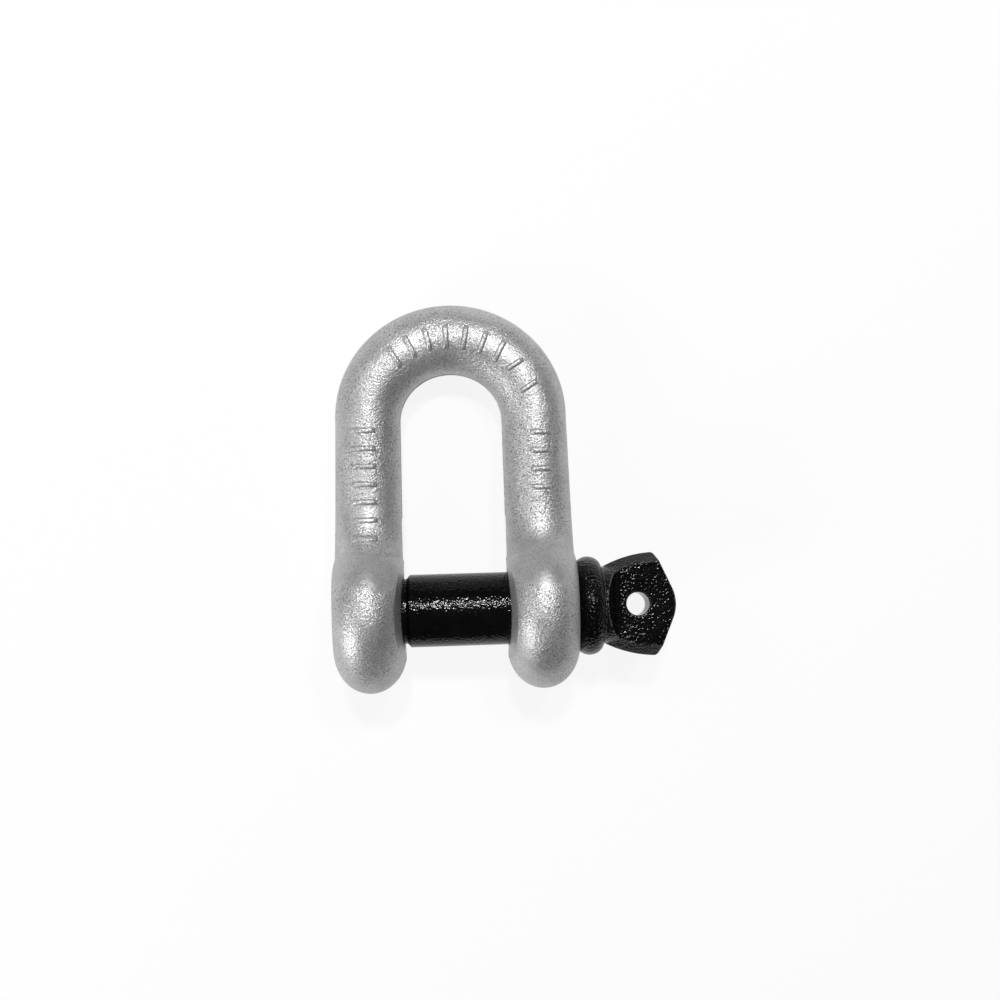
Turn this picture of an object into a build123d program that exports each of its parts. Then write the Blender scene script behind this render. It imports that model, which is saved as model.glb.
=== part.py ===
from build123d import *
from math import asin, atan2, cos, degrees, radians, sin, sqrt, tan
import os

# Screw-pin dee shackle, in millimetres. It lies at rest on its two ears and its crown.
# The origin is on the pin's axis, midway between the ears. +X runs along the pin to its head, and +Z is up.

# Bow: the bar
jaw_gap = 36.5  # clear width between the ears, where they are fullest
inside_length = 70.6  # from the pin to the inside of the crown
leg_diameter = 22.7  # at the shoulder
leg_swell = 0.6  # by the top of its flare a leg has grown this much thicker
crown_thickness = 24.2  # across the bar at the top of the crown, in the plane of the bow
crown_rise = 28.2  # from the shoulders to the bar's centre at the top of the crown
leg_set_out = 0.3  # at the pin's height a leg's centre line is this much further out than its ear's
leg_lean = 1.35  # each leg stands this much closer to the middle at the shoulder than at the pin's height

# Bow: the ears
ear_diameter = 57.0
ear_thickness = 24.4  # at the parting plane, where the ear is fullest
ear_rim_depth = 14.0  # how far in from the rim the ear's rounding starts
ear_fall_inner = 3.8  # how far the inner face has fallen away, from the parting plane out to the rim
ear_fall_outer = 1.4  # the same on the outer face
spot_face_depth = 0.3  # flats round the pin holes, on both sides of each ear
spot_face_diameter = 35.6
ear_face_stock = 0.3  # the disc starts this much thicker on each face, and the falling faces take it off
flare_radius = 22.0  # side view: the hollow curve from a leg to its ear
flare_run_in = 7.0  # how far the flare carries on inside the ear
flare_sink = 2.5  # how far below the ear's rim it ends
hole_edge_break = 0.3
thread_mouth_break = 0.9

# Screw pin: the turned part
pin_diameter = 25.7
thread_diameter = 25.0
runout_diameter = 23.0  # the neck where the thread runs out
runout_inside = 2.4  # length of that neck that shows between the ears
runout_in_ear = 2.4  # length of it inside the tapped ear
runout_slope = 1.2
tip_chamfer = 2.0
tip_setback = 0.6  # the pin's end lies this far inside the tapped ear's face
collar_diameter = 35.0
collar_thickness = 9.3
neck_diameter = 27.4
neck_length = 0.9

# Screw pin: the head
head_turn = 7.4  # how far past the bow's plane the blade stands when the pin is screwed home, in degrees
head_root_length = 4.3  # along the pin, from the round neck to the flat of the blade
head_root_draft = 0.7  # how much the root narrows by the time it ends in the blade
blade_thickness = 11.2
blade_edge_band = 3.4  # width of the slope down each flared side of the blade's flats
blade_land = 1.4  # the upright strip along the flared sides where the flash was trimmed
eye_diameter = 8.2
eye_from_flat = 7.3  # from the start of the blade's flat to the centre of the eye
blade_tip_radius = 13.4  # round the eye's centre
blade_cheek_angle = 23.7  # where the straight cheeks leave the round tip, from the pin's axis
blade_shoulder_half_width = 18.4
blade_flare_bow = 1.1  # how far the flared sides bulge beyond a straight line
blade_shoulder_radius = 1.5
forging_radius = 3.0
eye_rounding = 0.5

# Clearances
pin_clearance = 0.35  # round the shank in the plain ear
thread_clearance = 0.1
collar_clearance = 0.05  # between the collar and the ear that it closes on

# Sizes that follow
leg_radius = leg_diameter / 2
leg_foot_radius = (leg_diameter + leg_swell) / 2
ear_radius = ear_diameter / 2
ear_half = ear_thickness / 2
ear_core_radius = ear_radius - ear_rim_depth
ear_centre = jaw_gap / 2 + ear_half
spot_face_inner = ear_centre - ear_half + spot_face_depth
spot_face_outer = ear_centre + ear_half - spot_face_depth
pin_radius = pin_diameter / 2
thread_radius = thread_diameter / 2
runout_radius = runout_diameter / 2
neck_radius = neck_diameter / 2
plain_hole_radius = pin_radius + pin_clearance
tapped_hole_radius = thread_radius + thread_clearance
shoulder_x = ear_centre + leg_set_out - leg_lean
crown_centre = pin_radius + inside_length + crown_thickness / 2
shoulder_height = crown_centre - crown_rise

# Places along the pin
pin_end = tip_setback - spot_face_outer
runout_start = -spot_face_inner - runout_in_ear
runout_end = -spot_face_inner + runout_inside
collar_seat = spot_face_outer + collar_clearance
root_start = collar_seat + collar_thickness + neck_length
flat_start = root_start + head_root_length
root_slope = atan2(neck_radius - blade_thickness / 2, head_root_length)
root_end = flat_start + forging_radius * tan(root_slope / 2)
eye_x = flat_start + eye_from_flat

# The blade's cheeks are straight lines that touch its round tip
cheek_angle = radians(blade_cheek_angle)
cheek_end = (eye_x + blade_tip_radius * cos(cheek_angle), blade_tip_radius * sin(cheek_angle))
blade_shoulder_x = cheek_end[0] - (blade_shoulder_half_width - cheek_end[1]) * tan(cheek_angle)
flare_middle = (
    (root_start + blade_shoulder_x) / 2,
    (neck_radius + blade_shoulder_half_width) / 2 + blade_flare_bow,
)
blade_reach = eye_x + blade_tip_radius + 2 * blade_edge_band
blade_bevel_height = (blade_thickness - blade_land) / 2
blade_bevel_slope = degrees(atan2(blade_edge_band, blade_bevel_height))

# The bow lies at the slope that puts its ears and its crown on one level
rest_slope = asin((ear_radius - leg_radius) / crown_centre)
along_bow = Vector(0, cos(rest_slope), -sin(rest_slope))
out_of_bow = Vector(0, sin(rest_slope), cos(rest_slope))
bow_plane = Plane(origin=(0, 0, 0), x_dir=(1, 0, 0), z_dir=out_of_bow)

# The pin's head is turned on from the bow's plane
head_slope = rest_slope + radians(head_turn)
along_head = Vector(0, cos(head_slope), -sin(head_slope))
out_of_head = Vector(0, sin(head_slope), cos(head_slope))
head_plane = Plane(origin=(0, 0, 0), x_dir=(1, 0, 0), z_dir=out_of_head)
head_side_plane = Plane(origin=(0, 0, 0), x_dir=(1, 0, 0), z_dir=-along_head)

# The hollow curve of the flare touches the leg at flare_top and the ear's rim at flare_foot
flare_top = sqrt((ear_radius + flare_radius) ** 2 - (leg_foot_radius + flare_radius) ** 2)
flare_foot = flare_top * ear_radius / (ear_radius + flare_radius)
flare_steps = 5

# Below that the flare runs on inside the ear, sinking away from the rim
flare_end = flare_foot - flare_run_in
flare_sink_steps = 2


def across_bow(x: float, height: float) -> Plane:
    """A plane square to the bow's length, at a place in the bow's own plane."""
    return Plane(
        origin=bow_plane.from_local_coords((x, height, 0)), x_dir=(1, 0, 0), z_dir=along_bow
    )


def across_pin(x: float) -> Plane:
    """A plane square to the pin, with its own x along the bow."""
    return Plane(origin=(x, 0, 0), x_dir=along_bow, z_dir=(1, 0, 0))


def leg_centre(height: float) -> float:
    """Where a leg's centre line is, out from the middle, at a height above the pin's axis."""
    return ear_centre + leg_set_out - leg_lean * height / shoulder_height


def flare_half_width(height: float) -> float:
    """Half of the flare's width as seen from the front: it swells slowly from the leg to the ear."""
    return leg_foot_radius + (ear_half - leg_foot_radius) * (1 - height / flare_top)


def flare_half_depth(height: float) -> float:
    """Half of the flare's depth as seen from the side: the hollow curve, then inside the rim."""
    if height < flare_foot:
        return sqrt(ear_radius**2 - height**2) - flare_sink * ((flare_foot - height) / flare_run_in) ** 2
    return leg_foot_radius + flare_radius - sqrt(flare_radius**2 - (flare_top - height) ** 2)


# Bow: one forging
with BuildPart() as bow:
    # The ear on the head's side, a thick disc with a rounded rim
    with BuildSketch(bow_plane):
        with BuildLine():
            disc_half = ear_half + ear_face_stock
            rim = EllipticalCenterArc((ear_centre, ear_core_radius), disc_half, ear_rim_depth, arc_size=180)
            Polyline(rim @ 1, (ear_centre - disc_half, 0), (ear_centre + disc_half, 0), rim @ 0)
        make_face()
    revolve(axis=Axis.X)

    # The ear is fullest at the parting plane, and its faces fall away from there to the front and the back
    with BuildSketch(across_bow(ear_centre, -ear_diameter)):
        with BuildLine():
            inner_face = ThreePointArc(
                (ear_fall_inner - ear_half, -ear_radius), (-ear_half, 0), (ear_fall_inner - ear_half, ear_radius)
            )
            outer_face = ThreePointArc(
                (ear_half - ear_fall_outer, ear_radius), (ear_half, 0), (ear_half - ear_fall_outer, -ear_radius)
            )
            Line(inner_face @ 1, outer_face @ 0)
            Line(outer_face @ 1, inner_face @ 0)
        make_face()
    extrude(amount=2 * ear_diameter, mode=Mode.INTERSECT)

    # The flare, from inside the ear up to the leg
    run_in_heights = [
        flare_end + (flare_foot - flare_end) * step / flare_sink_steps for step in range(flare_sink_steps)
    ]
    hollow_heights = [
        flare_foot + (flare_top - flare_foot) * step / flare_steps for step in range(flare_steps + 1)
    ]
    for height in run_in_heights + hollow_heights:
        with BuildSketch(across_bow(leg_centre(height), height)):
            Ellipse(flare_half_width(height), flare_half_depth(height))
    loft()

    # The leg, from the flare up to the shoulder
    with BuildSketch(across_bow(leg_centre(flare_top), flare_top)):
        Circle(leg_foot_radius)
    with BuildSketch(across_bow(shoulder_x, shoulder_height)):
        Circle(leg_radius)
    loft(ruled=True)
    mirror(about=Plane.YZ)

    # The crown, thickest at its top
    with BuildLine(bow_plane) as crown_line:
        EllipticalCenterArc((0, shoulder_height), shoulder_x, crown_rise, arc_size=180)
    with BuildSketch(across_bow(shoulder_x, shoulder_height)):
        Circle(leg_radius)
    with BuildSketch(
        Plane(
            origin=bow_plane.from_local_coords((0, crown_centre, 0)),
            x_dir=along_bow,
            z_dir=(-1, 0, 0),
        )
    ):
        Ellipse(crown_thickness / 2, leg_radius)
    with BuildSketch(across_bow(-shoulder_x, shoulder_height)):
        Circle(leg_radius)
    sweep(path=crown_line.line, multisection=True)

    # The spot faces, then the plain hole and the tapped hole
    for side in (1, -1):
        for face in (spot_face_inner, spot_face_outer):
            with BuildSketch(across_pin(side * face)):
                Circle(spot_face_diameter / 2)
            away = side if face == spot_face_outer else -side
            extrude(amount=away * spot_face_depth, mode=Mode.SUBTRACT)
    for side, radius, edge_break in (
        (1, plain_hole_radius, hole_edge_break),
        (-1, tapped_hole_radius, thread_mouth_break),
    ):
        with BuildSketch(bow_plane):
            with BuildLine():
                Polyline(
                    (0, 0),
                    (0, radius + edge_break),
                    (side * spot_face_inner, radius + edge_break),
                    (side * (spot_face_inner + edge_break), radius),
                    (side * (spot_face_outer - edge_break), radius),
                    (side * spot_face_outer, radius + edge_break),
                    (side * (spot_face_outer + ear_half), radius + edge_break),
                    (side * (spot_face_outer + ear_half), 0),
                    close=True,
                )
            make_face()
        revolve(axis=Axis.X, mode=Mode.SUBTRACT)

# The blade of the pin's head, with cheeks and a tip that are square to its flats
with BuildPart() as blade:
    # The flared sides slope away from the flats, and run on past the tip
    with BuildSketch(head_plane) as sloped:
        with BuildLine():
            flare = ThreePointArc(
                (blade_shoulder_x, blade_shoulder_half_width), flare_middle, (root_start, neck_radius)
            )
            Polyline(
                flare @ 1,
                (root_start, 0),
                (blade_reach, 0),
                (blade_reach, blade_shoulder_half_width),
                flare @ 0,
            )
        make_face()
        mirror(about=Plane.XZ)
    extrude(amount=blade_land / 2, both=True)
    with BuildSketch(head_plane.offset(blade_land / 2)):
        add(sloped.sketch_local)
    extrude(amount=blade_bevel_height, taper=blade_bevel_slope)
    mirror(about=head_plane)

    # The outline: the same flared sides, straight cheeks and a round tip
    with BuildSketch(head_plane) as outline:
        with BuildLine():
            tip = RadiusArc((eye_x + blade_tip_radius, 0), cheek_end, -blade_tip_radius)
            cheek = Line(tip @ 1, (blade_shoulder_x, blade_shoulder_half_width))
            side = ThreePointArc(cheek @ 1, flare_middle, (root_start, neck_radius))
            Polyline(side @ 1, (root_start, 0), tip @ 0)
        make_face()
        shoulder = outline.vertices().sort_by(Axis.Y)[-1]
        fillet(shoulder, blade_shoulder_radius)
        mirror(about=Plane.XZ)
    extrude(amount=blade_thickness, both=True, mode=Mode.INTERSECT)

# Screw pin: one forging, turned on its shank and thread
with BuildPart() as screw_pin:
    with BuildSketch(bow_plane):
        with BuildLine():
            thread = Polyline(
                (pin_end, 0),
                (pin_end, thread_radius - tip_chamfer),
                (pin_end + tip_chamfer, thread_radius),
                (runout_start, thread_radius),
                (runout_start + runout_slope, runout_radius),
                (runout_end - runout_slope, runout_radius),
                (runout_end, pin_radius),
                (collar_seat, pin_radius),
                (collar_seat, neck_radius),
            )
            bead = EllipticalCenterArc(
                (collar_seat + collar_thickness / 2, neck_radius),
                collar_thickness / 2,
                collar_diameter / 2 - neck_radius,
                arc_size=180,
            )
            Polyline(
                bead @ 0,
                (root_start, neck_radius),
                (root_end, neck_radius - head_root_draft),
                (root_end, 0),
                thread @ 0,
            )
        make_face()
    revolve(axis=Axis.X)

    # The root of the head: two slopes that take the round neck down to the blade's flats
    with BuildSketch(head_side_plane) as slopes:
        with BuildLine():
            Polyline(
                (root_start, neck_radius),
                (flat_start, blade_thickness / 2),
                (eye_x, blade_thickness / 2),
                (eye_x, neck_radius),
                close=True,
            )
        make_face()
        hollow_corner = slopes.vertices().sort_by_distance((flat_start, blade_thickness / 2))[0]
        fillet(hollow_corner, forging_radius)
        mirror(about=Plane.XZ)
    extrude(amount=collar_diameter, both=True, mode=Mode.SUBTRACT)

    add(blade.part)

    # The eye through the blade
    with BuildSketch(head_plane):
        with Locations((eye_x, 0)):
            Circle(eye_diameter / 2)
    extrude(amount=blade_thickness, both=True, mode=Mode.SUBTRACT)
    eye_rims = screw_pin.edges(Select.LAST).filter_by(GeomType.CIRCLE)
    fillet(eye_rims, eye_rounding)

bow.part.label = "bow"
screw_pin.part.label = "screw_pin"

os.makedirs("parts", exist_ok=True)
export_step(bow.part, "parts/bow.step")
export_step(screw_pin.part, "parts/screw_pin.step")
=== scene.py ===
import logging
from collections.abc import Mapping, Sequence
from dataclasses import dataclass, field
from enum import Enum
from math import asin, ceil, cos, pi, radians, sin
from typing import Any

import bmesh
import bpy
from mathutils import Matrix, Vector


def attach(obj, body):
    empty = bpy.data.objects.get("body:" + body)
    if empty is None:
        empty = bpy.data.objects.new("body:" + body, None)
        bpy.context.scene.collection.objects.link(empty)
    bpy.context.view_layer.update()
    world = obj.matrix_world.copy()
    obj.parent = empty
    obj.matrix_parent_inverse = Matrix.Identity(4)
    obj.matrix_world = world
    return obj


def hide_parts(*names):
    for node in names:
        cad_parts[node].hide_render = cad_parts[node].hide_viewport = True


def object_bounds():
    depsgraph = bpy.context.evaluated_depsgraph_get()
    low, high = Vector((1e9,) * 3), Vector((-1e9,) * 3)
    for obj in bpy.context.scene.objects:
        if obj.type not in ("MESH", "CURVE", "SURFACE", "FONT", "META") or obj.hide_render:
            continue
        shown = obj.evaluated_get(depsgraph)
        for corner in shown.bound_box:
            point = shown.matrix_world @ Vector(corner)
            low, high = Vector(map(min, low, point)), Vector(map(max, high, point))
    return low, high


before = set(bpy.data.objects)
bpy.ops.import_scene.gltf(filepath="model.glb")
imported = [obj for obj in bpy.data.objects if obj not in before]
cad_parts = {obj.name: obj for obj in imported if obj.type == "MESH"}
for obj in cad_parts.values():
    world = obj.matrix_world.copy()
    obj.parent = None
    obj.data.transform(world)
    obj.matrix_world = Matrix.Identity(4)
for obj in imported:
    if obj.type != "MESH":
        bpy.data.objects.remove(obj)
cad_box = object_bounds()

log = logging.getLogger("shackle")

MM = 0.001
WELD = 0.002 * MM  # points nearer than this are one
FINER_GRAIN = 0.55  # how strong each finer grain of a noise is

# The bow's own sizes, in millimetres from the pin's axis
EAR_RADIUS = 28.5
LEG_RADIUS = 11.35
CROWN_CENTRE = 95.55
CROWN_RISE = 28.2
SHOULDER_HEIGHT = CROWN_CENTRE - CROWN_RISE

# The bow lies on its ears and its crown, so its own plane slopes a little
REST_SLOPE = asin((EAR_RADIUS - LEG_RADIUS) / CROWN_CENTRE)
BOW_FRAME = Matrix.Rotation(-REST_SLOPE, 4, "X")
OUT_OF_BOW = BOW_FRAME.to_3x3() @ Vector((0, 0, 1))

Colour = tuple[float, float, float, float]
Range = tuple[float, float]


def in_bow(across: float, along: float, out: float = 0.0) -> Vector:
    """Turns a place in the bow's own plane into one in the row frame.

    Args:
        across: Millimetres from the middle, along the pin.
        along: Millimetres from the pin, towards the crown.
        out: Millimetres in front of the bow's plane.

    Returns:
        The place in metres.
    """
    return BOW_FRAME @ (Vector((across, along, out)) * MM)


def grey(tone: float) -> Colour:
    """A neutral colour."""
    return (tone, tone, tone, 1.0)


class Body(Enum):
    """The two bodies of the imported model."""

    BOW = "bow"
    PIN = "pin"


class Slot(Enum):
    """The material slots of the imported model."""

    FORGING = "galvanised_forging"
    PIN = "black_pin"


class Pattern(Enum):
    """The random patterns of the finishes, each with its own seed."""

    CLOUDS = 1.0
    PEEL = 2.0
    ZINC_GRAIN = 3.0
    SPECKS = 4.0
    CUTS = 5.0
    STAIN = 6.0
    COAT_GRAIN = 7.0
    COAT_PITS = 8.0
    CHIPS = 9.0
    HAZE = 10.0
    LUMPS = 11.0
    PATCHES = 12.0


class Signal:
    """A node's output, which Python's operators join with Math nodes."""

    def __init__(self, tree: "Tree", socket: bpy.types.NodeSocket) -> None:
        """Keeps the socket and the tree that it is in."""
        self.tree = tree
        self.socket = socket

    def output(self, name: str | int) -> "Signal":
        """Another output of the same node."""
        return Signal(self.tree, self.socket.node.outputs[name])

    def maths(self, operation: str, *others: "Signal | float") -> "Signal":
        """A Math node on this value and the others."""
        return self.tree.maths(operation, self, *others)

    def __add__(self, other: "Signal | float") -> "Signal":
        """This value plus another."""
        return self.maths("ADD", other)

    def __radd__(self, other: float) -> "Signal":
        """A number plus this value."""
        return self.tree.maths("ADD", other, self)

    def __sub__(self, other: "Signal | float") -> "Signal":
        """This value less another."""
        return self.maths("SUBTRACT", other)

    def __rsub__(self, other: float) -> "Signal":
        """A number less this value."""
        return self.tree.maths("SUBTRACT", other, self)

    def __mul__(self, other: "Signal | float") -> "Signal":
        """This value times another."""
        return self.maths("MULTIPLY", other)

    def __rmul__(self, other: float) -> "Signal":
        """A number times this value."""
        return self.tree.maths("MULTIPLY", other, self)

    def __truediv__(self, other: "Signal | float") -> "Signal":
        """This value divided by another."""
        return self.maths("DIVIDE", other)

    def __pow__(self, power: float) -> "Signal":
        """This value to a power."""
        return self.maths("POWER", power)

    def least(self, other: "Signal | float") -> "Signal":
        """The smaller of this value and another."""
        return self.maths("MINIMUM", other)

    def most(self, other: "Signal | float") -> "Signal":
        """The larger of this value and another."""
        return self.maths("MAXIMUM", other)

    def above(self, other: "Signal | float") -> "Signal":
        """1 where this value is above another, and 0 elsewhere."""
        return self.maths("GREATER_THAN", other)

    def size(self) -> "Signal":
        """This value without its sign."""
        return self.maths("ABSOLUTE")

    def clamped(self) -> "Signal":
        """This value, kept between 0 and 1."""
        return self.least(1.0).most(0.0)

    def ramp(self, low: float, high: float) -> "Signal":
        """A smooth rise from 0 to 1 as this value goes from low to high.

        Args:
            low: The value at which the rise starts.
            high: The value at which it ends.

        Returns:
            The risen value, level outside the two.
        """
        return self.tree.add(
            "ShaderNodeMapRange",
            {"interpolation_type": "SMOOTHSTEP"},
            {"Value": self, "From Min": low, "From Max": high, "To Min": 0.0, "To Max": 1.0},
        )


class Tree:
    """Adds nodes to one node tree, of a material, the world or a mesh."""

    def __init__(self, group: bpy.types.NodeTree) -> None:
        """Keeps the tree and empties it."""
        self.group = group
        group.nodes.clear()

    def feed(self, socket: bpy.types.NodeSocket, value: Any) -> None:
        """Links a signal to a socket, or sets the socket's own value.

        Args:
            socket: The input to feed.
            value: A Signal or a plain value.
        """
        if isinstance(value, Signal):
            self.group.links.new(value.socket, socket)
        else:
            socket.default_value = value

    def add(
        self,
        kind: str,
        settings: Mapping[str, Any] | None = None,
        sockets: Mapping[str | int, Any] | None = None,
        output: str | int = 0,
    ) -> Signal:
        """Adds a node, sets it up and feeds its inputs.

        Args:
            kind: The node's type.
            settings: The node's properties, set first.
            sockets: Values or signals for its inputs, by name or number.
            output: The output to return.

        Returns:
            That output of the new node.
        """
        node = self.group.nodes.new(kind)
        for name, value in (settings or {}).items():
            setattr(node, name, value)
        for name, value in (sockets or {}).items():
            self.feed(node.inputs[name], value)
        return Signal(self, node.outputs[output])

    def maths(self, operation: str, *values: "Signal | float") -> Signal:
        """A Math node on values and signals."""
        return self.add("ShaderNodeMath", {"operation": operation}, dict(enumerate(values)))

    def finish(self, kind: str, sockets: Mapping[str | int, Any]) -> None:
        """Adds the output node that ends the tree.

        Args:
            kind: The output node's type.
            sockets: The signals for its inputs.
        """
        node = self.group.nodes.new(kind)
        for name, value in sockets.items():
            self.feed(node.inputs[name], value)

    def mixed(self, factor: Signal | float, low: Signal | Colour, high: Signal | Colour) -> Signal:
        """A blend of two colours.

        Args:
            factor: 0 for the first colour and 1 for the second.
            low: The first colour.
            high: The second colour.

        Returns:
            The blended colour.
        """
        return self.add(
            "ShaderNodeMix", {"data_type": "RGBA"}, {0: factor, 6: low, 7: high}, output=2
        )

    def noise(self, place: Signal, pattern: Pattern, size: float, detail: float) -> Signal:
        """Soft random values between 0 and 1.

        Args:
            place: Where on the surface, in metres.
            pattern: Which random pattern to draw.
            size: How large a grain is, in millimetres.
            detail: How many finer grains lie on it.

        Returns:
            The random value.
        """
        return self.add(
            "ShaderNodeTexNoise",
            {"noise_dimensions": "4D"},
            {
                "Vector": place,
                "W": pattern.value,
                "Scale": 1 / (size * MM),
                "Detail": detail,
                "Roughness": FINER_GRAIN,
            },
        )

    def bump(self, height: Signal, depth: float, under: Signal | None = None) -> Signal:
        """Bent normals for a fine relief.

        Args:
            height: The relief, from 0 to 1.
            depth: How deep it is, in millimetres.
            under: The normals of a relief that it lies on.

        Returns:
            The bent normals.
        """
        sockets = {"Height": height, "Distance": depth * MM, "Strength": 1.0}
        if under is not None:
            sockets["Normal"] = under
        return self.add("ShaderNodeBump", {}, sockets)


class Finish:
    """A material that is being made: its tree, and where on the surface each point is."""

    def __init__(self, name: str) -> None:
        """Starts an empty material."""
        self.material = bpy.data.materials.new(name)
        self.material.use_nodes = True
        self.tree = Tree(self.material.node_tree)

    def place(self) -> Signal:
        """The place of each point on the object, in metres."""
        return self.tree.add("ShaderNodeTexCoord", {}, {}, "Object")

    def shaded(self, sockets: Mapping[str | int, Any]) -> bpy.types.Material:
        """Ends the material with one surface shader.

        Args:
            sockets: The values and signals for the shader's inputs.

        Returns:
            The finished material.
        """
        shader = self.tree.add("ShaderNodeBsdfPrincipled", {}, sockets)
        self.tree.finish("ShaderNodeOutputMaterial", {"Surface": shader})
        return self.material


class Recipe:
    """A Geometry Nodes tree with named inputs, run on a start object to make a plain mesh."""

    def __init__(self, name: str) -> None:
        """Starts the tree with geometry going in and coming out."""
        self.group = bpy.data.node_groups.new(name, "GeometryNodeTree")
        self.tree = Tree(self.group)
        interface = self.group.interface
        interface.new_socket("Start", in_out="INPUT", socket_type="NodeSocketGeometry")
        interface.new_socket("Result", in_out="OUTPUT", socket_type="NodeSocketGeometry")
        self.inlet = self.group.nodes.new("NodeGroupInput")

    def start(self) -> Signal:
        """The mesh that the recipe is run on."""
        return Signal(self.tree, self.inlet.outputs["Start"])

    def input(self, name: str, kind: str = "NodeSocketFloat") -> Signal:
        """Adds a named input.

        Args:
            name: The input's name.
            kind: Its socket type.

        Returns:
            The input's value.
        """
        self.group.interface.new_socket(name, in_out="INPUT", socket_type=kind)
        return Signal(self.tree, self.inlet.outputs[name])

    def end(self, geometry: Signal, material: bpy.types.Material) -> None:
        """Ends the tree: real meshes, in one finish.

        Args:
            geometry: What the tree made.
            material: Its finish.
        """
        real = self.tree.add("GeometryNodeRealizeInstances", {}, {0: geometry})
        dressed = self.tree.add("GeometryNodeSetMaterial", {}, {"Geometry": real, "Material": material})
        self.tree.finish("NodeGroupOutput", {0: dressed})

    def run(self, start: bpy.types.Mesh, name: str, inputs: Mapping[str, Any]) -> bpy.types.Object:
        """Runs the recipe and keeps its result as a plain closed mesh.

        Args:
            start: The mesh to run it on.
            name: The finished piece's name.
            inputs: A value for each named input.

        Returns:
            The finished piece, at the origin.
        """
        holder = bpy.data.objects.new(name + "_start", start)
        bpy.context.scene.collection.objects.link(holder)
        modifier = holder.modifiers.new("recipe", "NODES")
        modifier.node_group = self.group
        sockets = [item for item in self.group.interface.items_tree if item.in_out == "INPUT"]
        identifiers = {item.name: item.identifier for item in sockets}
        for key, value in inputs.items():
            modifier[identifiers[key]] = value
        depsgraph = bpy.context.evaluated_depsgraph_get()
        mesh = bpy.data.meshes.new_from_object(holder.evaluated_get(depsgraph))
        holder.modifiers.remove(modifier)
        bpy.data.objects.remove(holder)
        return placed(name, mesh)


def placed(name: str, mesh: bpy.types.Mesh, crease: float = 50.0) -> bpy.types.Object:
    """Puts a mesh in the scene, at the origin, with its faces pointing outwards.

    Args:
        name: The piece's name.
        mesh: A closed mesh, with its place in its vertices.
        crease: Edges that turn by more degrees than this stay sharp.

    Returns:
        The new object.
    """
    shape = bmesh.new()
    shape.from_mesh(mesh)
    bmesh.ops.remove_doubles(shape, verts=shape.verts, dist=WELD)
    bmesh.ops.recalc_face_normals(shape, faces=shape.faces)
    for face in shape.faces:
        face.smooth = True
    for edge in shape.edges:
        edge.smooth = edge.calc_face_angle(0.0) < radians(crease)
    shape.to_mesh(mesh)
    shape.free()
    mesh.name = name
    piece = bpy.data.objects.new(name, mesh)
    bpy.context.scene.collection.objects.link(piece)
    return piece


def deliver(piece: bpy.types.Object, body: Body) -> None:
    """Hands a finished piece to the body that it moves with, and reports it.

    Args:
        piece: The finished piece.
        body: The body that it rides on.
    """
    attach(piece, body.value)
    log.info("%s: %d faces, rides on %s", piece.name, len(piece.data.polygons), body.value)


def dress(node: bpy.types.Object, material: bpy.types.Material) -> None:
    """Gives a piece one finish all over."""
    for slot in node.material_slots:
        slot.material = material
    if not node.material_slots:
        node.data.materials.append(material)


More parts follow.
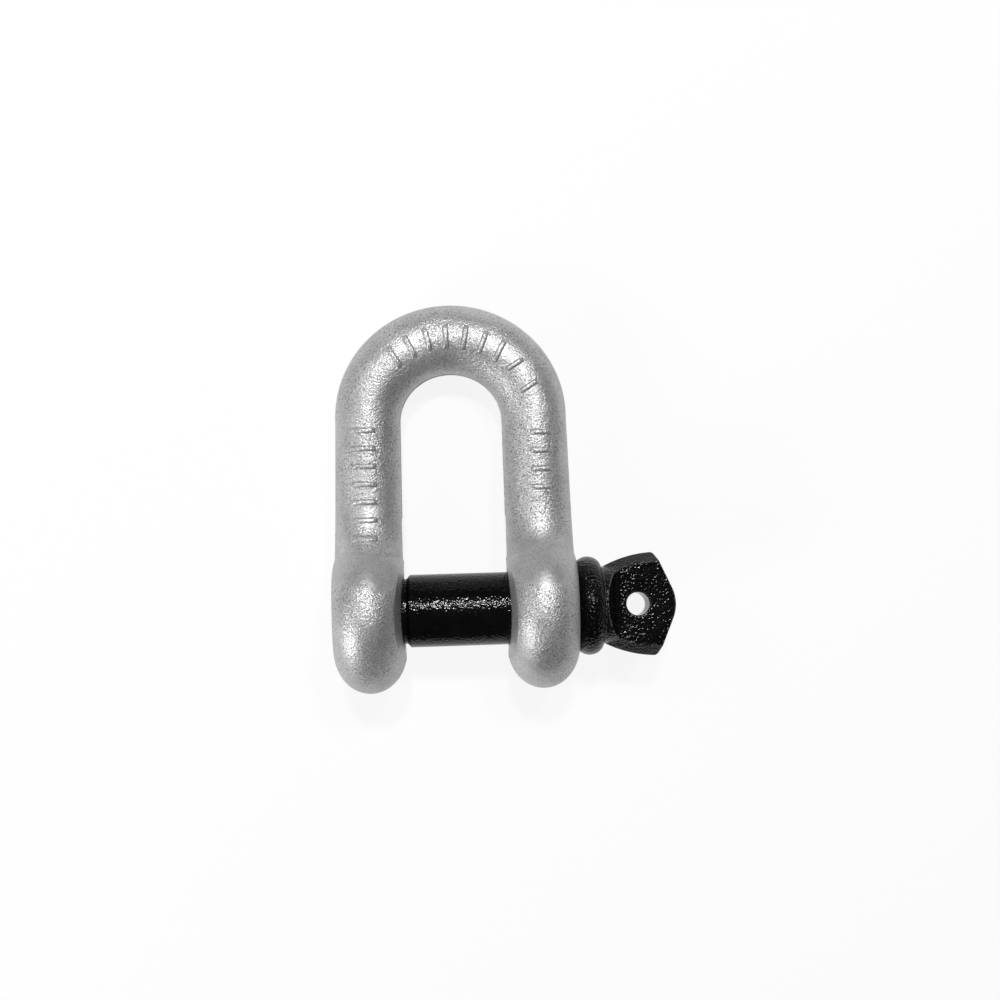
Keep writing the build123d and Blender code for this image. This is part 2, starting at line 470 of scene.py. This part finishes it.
@dataclass(frozen=True)
class Galvanised:
    """Hot-dipped zinc on a forging: a pale satin metal with a fine grain and a cloudy tone.

    Sizes, depths and places are in millimetres. Tones, gloss and shares run from 0 to 1.
    """

    pale: float = 0.58
    dull: float = 0.34
    pit: float = 0.08
    gloss: float = 0.39
    cloud_gloss: float = 0.08
    pit_gloss: float = 0.15
    metal: float = 0.72
    cloud_size: float = 11.0
    cloud_range: Range = (0.3, 0.7)
    cloud_share: float = 0.35
    speck_size: float = 0.50
    speck_range: Range = (0.3, 0.7)
    speck_share: float = 0.65
    peel_size: float = 2.2
    peel_depth: float = 0.17
    grain_size: float = 0.62
    grain_depth: float = 0.34
    grain_least: float = 0.5
    patch_size: float = 16.0
    patch_range: Range = (0.36, 0.60)
    pit_range: Range = (0.54, 0.66)
    pit_least: float = 0.3
    pit_cover: float = 0.65
    run_start: float = 17.5
    run_end: float = 23.5
    run_ragged: float = 11.0
    run_fade: float = 3.0
    # How much painted shade darkens the tone on the smooth run
    run_painted_shade: float = 0.45
    run_smooths: float = 0.7

    def smooth_and_shaded_run(self, along: Signal, drift: Signal) -> Signal:
        """Where the zinc ran smooth, as the legs swell into the ears; its tone is also darkened there as
        painted shade.

        Args:
            along: The place along the bow, in metres.
            drift: Soft random values about 0, which make the run's borders ragged.

        Returns:
            1 on the smooth run and 0 off it.
        """
        up_leg = along + drift * (self.run_ragged * MM)
        begun = up_leg.ramp((self.run_start - self.run_fade) * MM, self.run_start * MM)
        return begun - up_leg.ramp(self.run_end * MM, (self.run_end + self.run_fade) * MM)

    def material(self) -> bpy.types.Material:
        """Builds the finish as a material."""
        finish = Finish("galvanised_zinc")
        tree, place = finish.tree, finish.place()
        clouds = tree.noise(place, Pattern.CLOUDS, self.cloud_size, detail=3.0)
        peel = tree.noise(place, Pattern.PEEL, self.peel_size, detail=2.0)
        grain = tree.noise(place, Pattern.ZINC_GRAIN, self.grain_size, detail=2.0)
        specks = tree.noise(place, Pattern.SPECKS, self.speck_size, detail=1.0)
        patches = tree.noise(place, Pattern.PATCHES, self.patch_size, detail=3.0)

        # The skin is rough in patches, and has more pits there
        along = tree.add("ShaderNodeSeparateXYZ", {}, {0: place}, "Y")
        smooth_and_shaded_run = self.smooth_and_shaded_run(along, patches + clouds - 1.0)
        rough = patches.ramp(*self.patch_range) * (1.0 - smooth_and_shaded_run)
        pits = (1.0 - specks).ramp(*self.pit_range)
        pits = pits * (self.pit_least + rough * (1.0 - self.pit_least))

        tone = clouds.ramp(*self.cloud_range) * self.cloud_share
        tone = tone + specks.ramp(*self.speck_range) * self.speck_share
        # Painted shade: the tone is darkened on the smooth run over the swell into the ears
        tone = tone * (1.0 - smooth_and_shaded_run * self.run_painted_shade)
        zinc = tree.mixed(tone, grey(self.dull), grey(self.pale))
        pitted = tree.mixed(pits * self.pit_cover, zinc, grey(self.pit))

        grained = grain * (self.grain_least + rough * (1.0 - self.grain_least))
        grained = grained * (1.0 - smooth_and_shaded_run * self.run_smooths)
        return finish.shaded(
            {
                "Base Color": pitted,
                "Roughness": self.gloss + clouds * self.cloud_gloss + pits * self.pit_gloss,
                "Metallic": self.metal,
                "Normal": tree.bump(grained, self.grain_depth, tree.bump(peel, self.peel_depth)),
            }
        )


@dataclass(frozen=True)
class TappedSteel:
    """Bare cut steel in the tapped ear, a little darker than the zinc.

    Sizes and depths are in millimetres.
    """

    tone: Colour = grey(0.36)
    stained: Colour = (0.216, 0.2088, 0.198, 1.0)
    gloss: float = 0.30
    stain_gloss: float = 0.2
    stain_size: float = 5.0
    stain_range: Range = (0.35, 0.65)
    cut_size: float = 0.5
    cut_depth: float = 0.012

    def material(self) -> bpy.types.Material:
        """Builds the finish as a material."""
        finish = Finish("tapped_steel")
        tree, place = finish.tree, finish.place()
        cuts = tree.noise(place, Pattern.CUTS, self.cut_size, detail=2.0)
        stain = tree.noise(place, Pattern.STAIN, self.stain_size, detail=3.0)
        return finish.shaded(
            {
                "Base Color": tree.mixed(stain.ramp(*self.stain_range), self.tone, self.stained),
                "Roughness": self.gloss + stain * self.stain_gloss,
                "Metallic": 1.0,
                "Normal": tree.bump(cuts, self.cut_depth),
            }
        )


@dataclass(frozen=True)
class BlackCoating:
    """Glossy black coating: a fine grain on the turned shank, a pitted skin on the forged head.

    Sizes, depths and places along the pin are in millimetres.
    """

    tone: float = 0.002
    # Paler tone of worn coating, also painted on the head's edges as a glint
    worn_and_glint_tone: float = 0.12
    shine: float = 0.18
    gloss: float = 0.11
    haze_gloss: float = 0.05
    haze_size: float = 6.0
    haze_range: Range = (0.4, 0.7)
    haze_wear: float = 0.01
    chip_size: float = 1.1
    chip_range: Range = (0.68, 0.74)
    chip_wear: float = 0.04
    head_start: float = 42.5
    head_fade: float = 0.5
    blade_range: Range = (54.0, 66.0)
    edge_radius: float = 0.9
    edge_samples: int = 6
    edge_range: Range = (0.006, 0.05)
    edge_grain_range: Range = (0.4, 0.55)
    edge_wear_and_glint: float = 0.9
    edge_smooths: float = 0.8
    grain_size: float = 0.80
    grain_depth: float = 0.19
    head_grain: float = 0.5
    blade_grain: float = 1.0
    pit_size: float = 1.0
    pit_depth: float = 0.13
    pit_range: Range = (0.42, 0.62)
    blade_pits: float = 0.75
    lump_size: float = 4.5
    lump_depth: float = 0.12

    def material(self) -> bpy.types.Material:
        """Builds the finish as a material."""
        finish = Finish("black_coating")
        tree, place = finish.tree, finish.place()
        grain = tree.noise(place, Pattern.COAT_GRAIN, self.grain_size, detail=0.0)
        pits = tree.noise(place, Pattern.COAT_PITS, self.pit_size, detail=0.0).ramp(*self.pit_range)
        chips = tree.noise(place, Pattern.CHIPS, self.chip_size, detail=1.0).ramp(*self.chip_range)
        haze = tree.noise(place, Pattern.HAZE, self.haze_size, detail=2.0)
        lumps = tree.noise(place, Pattern.LUMPS, self.lump_size, detail=1.0)

        # The forged head starts at the collar, and its blade is the smoother end of it
        along_pin = tree.add("ShaderNodeSeparateXYZ", {}, {0: place}, "X")
        fade = self.head_fade
        on_head = along_pin.ramp((self.head_start - fade) * MM, (self.head_start + fade) * MM)
        on_blade = along_pin.ramp(*(end * MM for end in self.blade_range))

        # The coating is thin and round on the head's edges, and the edge mask below also paints a glint there
        rounding = on_head * (self.edge_radius * MM)
        soft = tree.add("ShaderNodeBevel", {"samples": self.edge_samples}, {"Radius": rounding})
        face = tree.add("ShaderNodeNewGeometry", {}, {}, "Normal")
        level = tree.add("ShaderNodeVectorMath", {"operation": "DOT_PRODUCT"}, {0: soft, 1: face}, "Value")
        edge = (1.0 - level).ramp(*self.edge_range)
        off_edge = 1.0 - edge * self.edge_smooths

        wear_and_glint = haze.ramp(*self.haze_range) * self.haze_wear + chips * self.chip_wear
        # The head's edges are painted paler: partly worn coating, partly a painted glint along them
        wear_and_glint = wear_and_glint + edge * grain.ramp(*self.edge_grain_range) * self.edge_wear_and_glint
        forged = tree.bump(lumps * on_head, self.lump_depth, soft)
        pitted = pits * (on_head - on_blade * self.blade_pits) * off_edge
        skin = tree.bump(pitted, self.pit_depth, forged)
        grained = grain * (1.0 + on_head * self.head_grain - on_blade * self.blade_grain) * off_edge
        return finish.shaded(
            {
                "Base Color": tree.mixed(wear_and_glint, grey(self.tone), grey(self.worn_and_glint_tone)),
                "Roughness": self.gloss + haze * self.haze_gloss,
                "Metallic": 0.0,
                "Specular IOR Level": self.shine,
                "Normal": tree.bump(grained, self.grain_depth, skin),
            }
        )


@dataclass(frozen=True)
class ThreadCut:
    """One right-hand screw thread about the pin's axis, in millimetres, cut on a rod or in a hole."""

    name: str
    start: float
    end: float
    root_radius: float
    crest_radius: float
    wall_radius: float
    hollow: bool
    phase: float = 0.0
    fade: float = 1.0
    nose_radius: float = 99.0
    neck_radius: float = 0.0
    neck_length: float = 0.0
    pitch: float = 3.175
    rows_per_turn: int = 8
    flank_rows: float = 2.0
    flank_end: float = 2.5
    around: int = 72

    def winding_rows(self) -> int:
        """How many rows of points wind from end to end, with a turn to spare at each."""
        return ceil(((self.end - self.start) / self.pitch + 2) * self.rows_per_turn)

    def row_count(self) -> int:
        """The winding rows, one more to cap each end, and in a hole one that closes its wall."""
        return self.winding_rows() + (3 if self.hollow else 2)

    def inputs(self) -> dict[str, Any]:
        """The values for the recipe's named inputs."""
        return {
            "Start at": self.start * MM,
            "End at": self.end * MM,
            "Pitch": self.pitch * MM,
            "Root radius": self.root_radius * MM,
            "Crest radius": self.crest_radius * MM,
            "Wall radius": self.wall_radius * MM,
            "Phase": self.phase,
            "Fade": self.fade * MM,
            "Nose radius": self.nose_radius * MM,
            "Neck radius": self.neck_radius * MM,
            "Neck length": self.neck_length * MM,
            "Flank rows": self.flank_rows,
            "Flank end": self.flank_end,
            "Rows": self.row_count(),
            "Winding rows": self.winding_rows(),
            "Rows in a turn": self.rows_per_turn,
            "Around": self.around + 1,
        }

    def recipe(self, material: bpy.types.Material) -> Recipe:
        """Builds the winding: rows of points that follow the thread, closed at both ends.

        Args:
            material: The thread's finish.

        Returns:
            The recipe.
        """
        recipe = Recipe("wind_" + self.name)
        tree = recipe.tree
        start, end, pitch = (recipe.input(name) for name in ("Start at", "End at", "Pitch"))
        root, crest, wall = (recipe.input(name) for name in ("Root radius", "Crest radius", "Wall radius"))
        phase, fade = recipe.input("Phase"), recipe.input("Fade")
        nose = recipe.input("Nose radius")
        neck, neck_length = recipe.input("Neck radius"), recipe.input("Neck length")
        flank_rows, flank_end = recipe.input("Flank rows"), recipe.input("Flank end")
        whole = ("Rows", "Winding rows", "Rows in a turn", "Around")
        rows, winding, per_turn, around = (recipe.input(name, "NodeSocketInt") for name in whole)

        grid = tree.add(
            "GeometryNodeMeshGrid",
            {},
            {"Size X": 1.0, "Size Y": 1.0, "Vertices X": rows, "Vertices Y": around},
        )
        place = tree.add("GeometryNodeInputPosition")
        on_grid = tree.add("ShaderNodeSeparateXYZ", {}, {0: place})
        row = ((on_grid + 0.5) * (rows - 1.0) - 1.0).maths("ROUND")
        turn = on_grid.output("Y") + 0.5

        # Rows climb by one pitch in a turn, and stop dead at both ends
        climbed = start + (row / per_turn + turn - 1.0 - phase) * pitch
        winding_place = climbed.most(start).least(end)
        beyond = row.above(winding - 0.5)
        before = (row * -1.0).above(0.5)
        wrapped = row.above(winding + 0.5)
        far_end = beyond - wrapped
        near_end = (before + wrapped).least(1.0)
        along = winding_place * (1.0 - far_end - near_end) + end * far_end + start * near_end

        # The thread's section: a narrow crest, straight flanks and a wider root
        in_turn = tree.maths("FLOORED_MODULO", row, per_turn)
        off_crest = (in_turn - 0.5).size()
        off_crest = off_crest.least(per_turn - off_crest)
        height = ((flank_end - off_crest) / flank_rows).clamped()
        fading = ((along - start) / fade).clamped() * ((end - neck_length - along) / fade).clamped()
        cut = root + (crest - root) * height * fading
        necking = ((along - (end - neck_length)) / (fade * 0.5)).clamped() * neck.above(0.0)
        cut = cut + (neck - cut) * necking
        cut = cut.least(nose + along - start)
        capped = (far_end + near_end).least(1.0)
        radius = cut + (wall - cut) * capped

        angle = turn * (2 * pi)
        wound = tree.add(
            "ShaderNodeCombineXYZ",
            {},
            {"X": along, "Y": radius * angle.maths("COSINE"), "Z": radius * angle.maths("SINE")},
        )
        moved = tree.add("GeometryNodeSetPosition", {}, {"Geometry": grid, "Position": wound})
        closed = tree.add("GeometryNodeMergeByDistance", {}, {"Geometry": moved, "Distance": WELD})
        smooth = tree.add("GeometryNodeSetShadeSmooth", {}, {0: closed, "Shade Smooth": True})
        recipe.end(smooth, material)
        return recipe

    def make(self, material: bpy.types.Material) -> bpy.types.Object:
        """Winds the thread.

        Args:
            material: The thread's finish.

        Returns:
            The finished piece.
        """
        start = bpy.data.meshes.new(self.name)
        return self.recipe(material).run(start, self.name, self.inputs())


@dataclass(frozen=True)
class RaisedBars:
    """Plain raised bars that the forging die left on the front of the bow, in millimetres.

    A row is given by where it starts, where it ends and how long its bars are. Rows round the crown start and
    end at an angle from the right leg, in degrees, and rows on a leg at a height above the pin.
    """

    shoulder_half_width: float = 29.4
    leg_half_width: float = 30.75
    spacing: float = 6.0
    width: float = 2.0
    height: float = 0.6
    sink: float = 0.25
    crown: tuple[float, float, float] = (54.0, 130.0, 8.4)
    shoulder: tuple[float, float, float] = (22.0, 40.0, 6.8)
    left_leg: tuple[float, float, float] = (27.0, 64.0, 9.4)
    right_leg: tuple[float, float, float] = (43.0, 62.0, 7.2)
    arc_steps: int = 24
    block_points: tuple[int, int, int] = (7, 13, 2)
    side_power: float = 4.0
    end_power: float = 10.0
    reach: float = 30.0

    def round_crown(self, turn: float) -> Vector:
        """The place on the crown's middle line at an angle from the right leg, in radians."""
        return in_bow(self.shoulder_half_width * cos(turn), SHOULDER_HEIGHT + CROWN_RISE * sin(turn))

    def rows(self) -> bpy.types.Mesh:
        """Draws the lines that the bars stand on, two round the crown and one on each leg."""
        lines: list[list[Vector]] = []
        lengths: list[float] = []
        for low, high, length in (self.crown, self.shoulder):
            shares = [step / self.arc_steps for step in range(self.arc_steps + 1)]
            lines.append([self.round_crown(radians(low + (high - low) * share)) for share in shares])
            lengths += [length * MM] * len(shares)
        for side, (low, high, length) in ((-1, self.left_leg), (1, self.right_leg)):
            lines.append([in_bow(side * self.leg_half_width, height) for height in (low, high)])
            lengths += [length * MM] * 2
        mesh = line_mesh("bar_rows", lines)
        mesh.attributes.new("bar_length", "FLOAT", "POINT").data.foreach_set("value", lengths)
        return mesh

    def recipe(self, material: bpy.types.Material) -> Recipe:
        """Builds the bars: blocks set out along the rows and pressed on to the bow.

        Args:
            material: The bars' finish.

        Returns:
            The recipe.
        """
        recipe = Recipe("raise_bars")
        tree = recipe.tree
        names = ("Spacing", "Width", "Height", "Sink")
        spacing, width, height, sink = (recipe.input(name) for name in names)
        bow = recipe.input("Bow", "NodeSocketObject")
        out = tuple(OUT_OF_BOW)

        rows = tree.add("GeometryNodeMeshToCurve", {}, {"Mesh": recipe.start()})
        stations = tree.add(
            "GeometryNodeResampleCurve", {"mode": "LENGTH"}, {"Curve": rows, "Length": spacing}
        )

        # One bar: a block of unit length, with a crowned top that comes down to its sides and ends
        size = tree.add("ShaderNodeCombineXYZ", {}, {"X": width, "Y": 1.0, "Z": MM})
        points = dict(zip(("Vertices X", "Vertices Y", "Vertices Z"), self.block_points, strict=True))
        block = tree.add("GeometryNodeMeshCube", {}, {"Size": size, **points})
        place = tree.add("GeometryNodeInputPosition")
        on_block = tree.add("ShaderNodeSeparateXYZ", {}, {0: place})
        across = (on_block * 2.0 / width).size()
        down = (on_block.output("Y") * 2.0).size()
        crowned = (1.0 - across**self.side_power) * (1.0 - down**self.end_power)
        lift = on_block.output("Z").above(0.0) * (sink + height * crowned) - sink
        lifted = tree.add(
            "GeometryNodeStoreNamedAttribute",
            {"data_type": "FLOAT", "domain": "POINT"},
            {"Geometry": block, "Name": "lift", "Value": lift},
        )

        # Bars stand square to the bow and to their row
        upright = tree.add("FunctionNodeAlignRotationToVector", {"axis": "Z"}, {"Vector": out})
        turned = tree.add(
            "FunctionNodeAlignRotationToVector",
            {"axis": "X", "pivot_axis": "Z"},
            {"Rotation": upright, "Vector": tree.add("GeometryNodeInputTangent")},
        )
        length = tree.add("GeometryNodeInputNamedAttribute", {"data_type": "FLOAT"}, {"Name": "bar_length"})
        stretch = tree.add("ShaderNodeCombineXYZ", {}, {"X": 1.0, "Y": length, "Z": 1.0})
        blocks = tree.add(
            "GeometryNodeInstanceOnPoints",
            {},
            {"Points": stations, "Instance": lifted, "Rotation": turned, "Scale": stretch},
        )
        real = tree.add("GeometryNodeRealizeInstances", {}, {0: blocks})

        # Every point is pressed straight down on to the forging, and keeps its lift above it
        carrier = tree.add("GeometryNodeObjectInfo", {}, {"Object": bow}, "Geometry")
        start = tuple(OUT_OF_BOW * (self.reach * MM))
        above = tree.add("ShaderNodeVectorMath", {"operation": "ADD"}, {0: place, 1: start})
        hit = tree.add(
            "GeometryNodeRaycast",
            {},
            {
                "Target Geometry": carrier,
                "Source Position": above,
                "Ray Direction": tuple(-OUT_OF_BOW),
                "Ray Length": 2 * self.reach * MM,
            },
            "Hit Position",
        )
        kept = tree.add("GeometryNodeInputNamedAttribute", {"data_type": "FLOAT"}, {"Name": "lift"})
        raised = tree.add("ShaderNodeVectorMath", {"operation": "SCALE"}, {0: out, "Scale": kept})
        pressed = tree.add("ShaderNodeVectorMath", {"operation": "ADD"}, {0: hit, 1: raised})
        moved = tree.add("GeometryNodeSetPosition", {}, {"Geometry": real, "Position": pressed})
        smooth = tree.add("GeometryNodeSetShadeSmooth", {}, {0: moved, "Shade Smooth": True})
        recipe.end(smooth, material)
        return recipe

    def make(self, bow: bpy.types.Object, material: bpy.types.Material) -> bpy.types.Object:
        """Raises the bars on the bow.

        Args:
            bow: The CAD bow that carries them.
            material: Their finish.

        Returns:
            The finished piece.
        """
        inputs = {
            "Spacing": self.spacing * MM,
            "Width": self.width * MM,
            "Height": self.height * MM,
            "Sink": self.sink * MM,
            "Bow": bow,
        }
        return self.recipe(material).run(self.rows(), "raised_bars", inputs)


@dataclass(frozen=True)
class PartingLine:
    """The thin ridge of trimmed flash round the inside of the bow, in millimetres."""

    leg_foot: float = 33.0
    ridge_radius: float = 0.34
    sink: float = 0.12
    path_half_width: float = 4.0
    leg_steps: int = 14
    crown_steps: int = 60
    ridge_sides: int = 10
    reach: float = 100.0

    def path(self) -> bpy.types.Mesh:
        """Draws a line in the bow's gap, and stores the way from each point of it to the bow."""
        climb = (SHOULDER_HEIGHT - self.leg_foot) / self.leg_steps
        up = [(0.0, self.leg_foot + climb * step) for step in range(self.leg_steps)]
        over = [(pi * step / self.crown_steps, SHOULDER_HEIGHT) for step in range(self.crown_steps + 1)]
        down = [(pi, SHOULDER_HEIGHT - climb * (step + 1)) for step in range(self.leg_steps)]
        points = []
        aims = []
        for angle, height in up + over + down:
            points.append(in_bow(self.path_half_width * cos(angle), height))
            aims.append(in_bow(cos(angle) / MM, sin(angle) / MM))
        mesh = line_mesh("parting_path", [points])
        aim = mesh.attributes.new("aim", "FLOAT_VECTOR", "POINT")
        for entry, value in zip(aim.data, aims, strict=True):
            entry.vector = value
        return mesh

    def recipe(self, material: bpy.types.Material) -> Recipe:
        """Builds the ridge: a line thrown on to the bow and given a round section.

        Args:
            material: The ridge's finish.

        Returns:
            The recipe.
        """
        recipe = Recipe("run_parting_line")
        tree = recipe.tree
        radius, sink = recipe.input("Radius"), recipe.input("Sink")
        bow = recipe.input("Bow", "NodeSocketObject")
        aim = tree.add("GeometryNodeInputNamedAttribute", {"data_type": "FLOAT_VECTOR"}, {"Name": "aim"})
        carrier = tree.add("GeometryNodeObjectInfo", {}, {"Object": bow}, "Geometry")
        hit = tree.add(
            "GeometryNodeRaycast",
            {},
            {"Target Geometry": carrier, "Ray Direction": aim, "Ray Length": self.reach * MM},
            "Hit Position",
        )
        inwards = tree.add("ShaderNodeVectorMath", {"operation": "SCALE"}, {0: aim, "Scale": sink})
        sunk = tree.add("ShaderNodeVectorMath", {"operation": "ADD"}, {0: hit, 1: inwards})
        moved = tree.add("GeometryNodeSetPosition", {}, {"Geometry": recipe.start(), "Position": sunk})
        line = tree.add("GeometryNodeMeshToCurve", {}, {"Mesh": moved})
        section = tree.add(
            "GeometryNodeCurvePrimitiveCircle", {}, {"Resolution": self.ridge_sides, "Radius": radius}
        )
        ridge = tree.add(
            "GeometryNodeCurveToMesh", {}, {"Curve": line, "Profile Curve": section, "Fill Caps": True}
        )
        smooth = tree.add("GeometryNodeSetShadeSmooth", {}, {0: ridge, "Shade Smooth": True})
        recipe.end(smooth, material)
        return recipe

    def make(self, bow: bpy.types.Object, material: bpy.types.Material) -> bpy.types.Object:
        """Runs the ridge round the inside of the bow.

        Args:
            bow: The CAD bow that carries it.
            material: Its finish.

        Returns:
            The finished piece.
        """
        inputs = {"Radius": self.ridge_radius * MM, "Sink": self.sink * MM, "Bow": bow}
        return self.recipe(material).run(self.path(), "parting_line", inputs)


def line_mesh(name: str, lines: Sequence[Sequence[Vector]]) -> bpy.types.Mesh:
    """Makes a mesh of open lines, for a recipe to follow.

    Args:
        name: The mesh's name.
        lines: The points of each line, in metres.

    Returns:
        The mesh, which has no faces.
    """
    points = [point for line in lines for point in line]
    edges = []
    first = 0
    for line in lines:
        edges += [(first + step, first + step + 1) for step in range(len(line) - 1)]
        first += len(line)
    mesh = bpy.data.meshes.new(name)
    mesh.from_pydata(points, edges, [])
    return mesh


@dataclass(frozen=True)
class Bow:
    """The forged bow: the CAD forging in its zinc, with its bars, its parting line and its thread."""

    zinc: Galvanised = field(default_factory=Galvanised)
    cut_steel: TappedSteel = field(default_factory=TappedSteel)
    bars: RaisedBars = field(default_factory=RaisedBars)
    parting: PartingLine = field(default_factory=PartingLine)
    thread: ThreadCut = ThreadCut(
        name="ear_thread",
        start=-41.5,
        end=-19.4,
        root_radius=12.65,
        crest_radius=11.35,
        wall_radius=13.1,
        hollow=True,
        phase=0.5,
    )

    def build(self) -> None:
        """Dresses the CAD bow and adds its pieces."""
        zinc = self.zinc.material()
        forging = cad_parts["bow"]
        dress(forging, zinc)
        log.info("bow: the CAD forging in %s", zinc.name)
        deliver(self.bars.make(forging, zinc), Body.BOW)
        deliver(self.parting.make(forging, zinc), Body.BOW)
        deliver(self.thread.make(self.cut_steel.material()), Body.BOW)


@dataclass(frozen=True)
class ScrewPin:
    """The screw pin: its forged shank and head from the CAD, and a real thread, in millimetres."""

    coating: BlackCoating = field(default_factory=BlackCoating)
    cut_at: float = -19.0
    weld: float = 0.001
    crease: float = 28.0
    thread: ThreadCut = ThreadCut(
        name="pin_thread",
        start=-41.75,
        end=-18.6,
        root_radius=10.95,
        crest_radius=12.5,
        wall_radius=0.0,
        hollow=False,
        nose_radius=10.5,
        neck_radius=11.46,
        neck_length=2.6,
    )

    def forging(self, material: bpy.types.Material) -> bpy.types.Object:
        """Copies the CAD pin from its run-out to its head.

        Args:
            material: Its finish.

        Returns:
            The finished piece.
        """
        shape = bmesh.new()
        shape.from_mesh(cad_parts["screw_pin"].data)
        bmesh.ops.remove_doubles(shape, verts=shape.verts, dist=self.weld * MM)
        bmesh.ops.bisect_plane(
            shape,
            geom=shape.verts[:] + shape.edges[:] + shape.faces[:],
            plane_co=(self.cut_at * MM, 0, 0),
            plane_no=(1, 0, 0),
            clear_inner=True,
        )
        rim = [edge for edge in shape.edges if edge.is_boundary]
        bmesh.ops.holes_fill(shape, edges=rim, sides=0)
        mesh = bpy.data.meshes.new("pin_forging")
        shape.to_mesh(mesh)
        shape.free()
        piece = placed("pin_forging", mesh, self.crease)
        dress(piece, material)
        return piece

    def build(self) -> None:
        """Builds the pin's two pieces, which stand for the CAD pin."""
        coating = self.coating.material()
        forging = self.forging(coating)
        thread = self.thread.make(coating)
        for piece in (forging, thread):
            deliver(piece, Body.PIN)
            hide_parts("screw_pin")


@dataclass(frozen=True)
class Lamp:
    """A plain softbox that looks at the middle of the shackle, in millimetres."""

    name: str
    across: float
    along: float
    out: float
    width: float
    height: float
    watts: float
    aim_across: float = 10.0
    aim_along: float = 40.0

    def build(self) -> None:
        """Hangs the softbox."""
        light = bpy.data.lights.new(self.name, "AREA")
        light.shape = "RECTANGLE"
        light.size = self.width * MM
        light.size_y = self.height * MM
        light.energy = self.watts
        lamp = bpy.data.objects.new(self.name, light)
        bpy.context.scene.collection.objects.link(lamp)
        place = in_bow(self.across, self.along, self.out)
        lamp.location = place
        aim = in_bow(self.aim_across, self.aim_along) - place
        lamp.rotation_euler = aim.to_track_quat("-Z", "Y").to_euler()


@dataclass(frozen=True)
class Viewpoint:
    """The camera, worked out in the bow's own plane, in millimetres and degrees."""

    distance: float = 394.0
    aim_across: float = 16.589
    aim_along: float = 38.543
    pitch: float = -1.371
    yaw: float = -2.212
    roll: float = 1.573
    lens: float = 39.901
    sensor: float = 36.0
    nearest: float = 10.0
    furthest: float = 50000.0

    def build(self) -> None:
        """Sets up the camera that the picture is taken with."""
        ways = ((1, 0, 0), (0, 0, -1), (0, 1, 0))
        across, away, along = (BOW_FRAME.to_3x3() @ Vector(way) for way in ways)
        in_row = Matrix((across, away, along)).transposed()
        looking = Matrix.Rotation(radians(self.yaw), 3, "Z") @ Matrix.Rotation(radians(self.pitch), 3, "X")
        right, forward, up = (in_row @ looking).transposed()
        tilt = radians(self.roll)
        level = right * cos(tilt) - up * sin(tilt)
        upright = right * sin(tilt) + up * cos(tilt)
        place = in_bow(self.aim_across, self.aim_along) - forward * self.distance * MM
        data = bpy.data.cameras.new("camera")
        data.lens = self.lens
        data.sensor_width = self.sensor
        data.clip_start = self.nearest * MM
        data.clip_end = self.furthest * MM
        camera = bpy.data.objects.new("camera", data)
        bpy.context.scene.collection.objects.link(camera)
        turned = Matrix((level, upright, -forward)).transposed()
        camera.matrix_world = Matrix.Translation(place) @ turned.to_4x4()
        bpy.context.scene.camera = camera


@dataclass(frozen=True)
class Studio:
    """A white floor, a dim grey room that is paler at its foot, three softboxes and a large panel."""

    floor_size: float = 12000.0
    floor_tone: float = 0.85
    floor_glow: float = 0.88
    room: float = 0.07
    horizon: float = 0.14
    room_range: Range = (0.05, 0.40)
    lamps: tuple[Lamp, ...] = (
        Lamp("front_softbox", -20.0, 460.0, 1000.0, 72.0, 72.0, 6.6),
        Lamp("right_softbox", 225.0, 470.0, 1000.0, 90.0, 90.0, 3.7),
        Lamp("low_softbox", -760.0, -480.0, 400.0, 240.0, 240.0, 4.8),
        Lamp("left_panel", -760.0, 260.0, 700.0, 600.0, 420.0, 1.5),
    )
    viewpoint: Viewpoint = Viewpoint()

    def floor(self) -> None:
        """Lays the floor under the shackle."""
        half = self.floor_size / 2 * MM
        level = cad_box[0].z
        mesh = bpy.data.meshes.new("floor")
        corners = [(-half, -half, level), (half, -half, level), (half, half, level), (-half, half, level)]
        mesh.from_pydata(corners, [], [(0, 1, 2, 3)])
        finish = bpy.data.materials.new("white_floor")
        finish.use_nodes = True
        tree = Tree(finish.node_tree)

        # The floor looks white to the camera and in gloss and glass, and still takes a faint shadow
        path = tree.add("ShaderNodeLightPath")
        seen = path.output("Is Camera Ray") + path.output("Is Glossy Ray")
        seen = (seen + path.output("Is Transmission Ray")).clamped()
        matt = tree.add("ShaderNodeBsdfDiffuse", {}, {"Color": grey(self.floor_tone)})
        glow = tree.add("ShaderNodeEmission", {}, {"Color": grey(1.0), "Strength": 1.0})
        shader = tree.add("ShaderNodeMixShader", {}, {0: seen * self.floor_glow, 1: matt, 2: glow})
        tree.finish("ShaderNodeOutputMaterial", {"Surface": shader})
        ground = bpy.data.objects.new("floor", mesh)
        dress(ground, finish)
        bpy.context.scene.collection.objects.link(ground)

    def room_light(self) -> None:
        """Paints the room: paler near the floor, dimmer higher up."""
        world = bpy.data.worlds.new("room")
        bpy.context.scene.world = world
        world.use_nodes = True
        tree = Tree(world.node_tree)
        direction = tree.add("ShaderNodeTexCoord", {}, {}, "Generated")
        rise = tree.add("ShaderNodeSeparateXYZ", {}, {0: direction}, "Z")
        dim = rise.ramp(*self.room_range)
        strength = self.horizon + (self.room - self.horizon) * dim
        light = tree.add("ShaderNodeBackground", {}, {"Color": grey(1.0), "Strength": strength})
        tree.finish("ShaderNodeOutputWorld", {"Surface": light})

    def build(self) -> None:
        """Sets up the camera, the floor, the room and the lamps."""
        self.viewpoint.build()
        self.floor()
        self.room_light()
        for lamp in self.lamps:
            lamp.build()
        bpy.context.scene.view_settings.view_transform = "Standard"
        log.info("studio: %d lamps", len(self.lamps))


def main() -> None:
    """Builds the shackle and its studio."""
    logging.basicConfig(level=logging.INFO, format="%(name)s: %(message)s")
    Studio().build()
    Bow().build()
    ScrewPin().build()


if __name__ == "__main__":
    main()
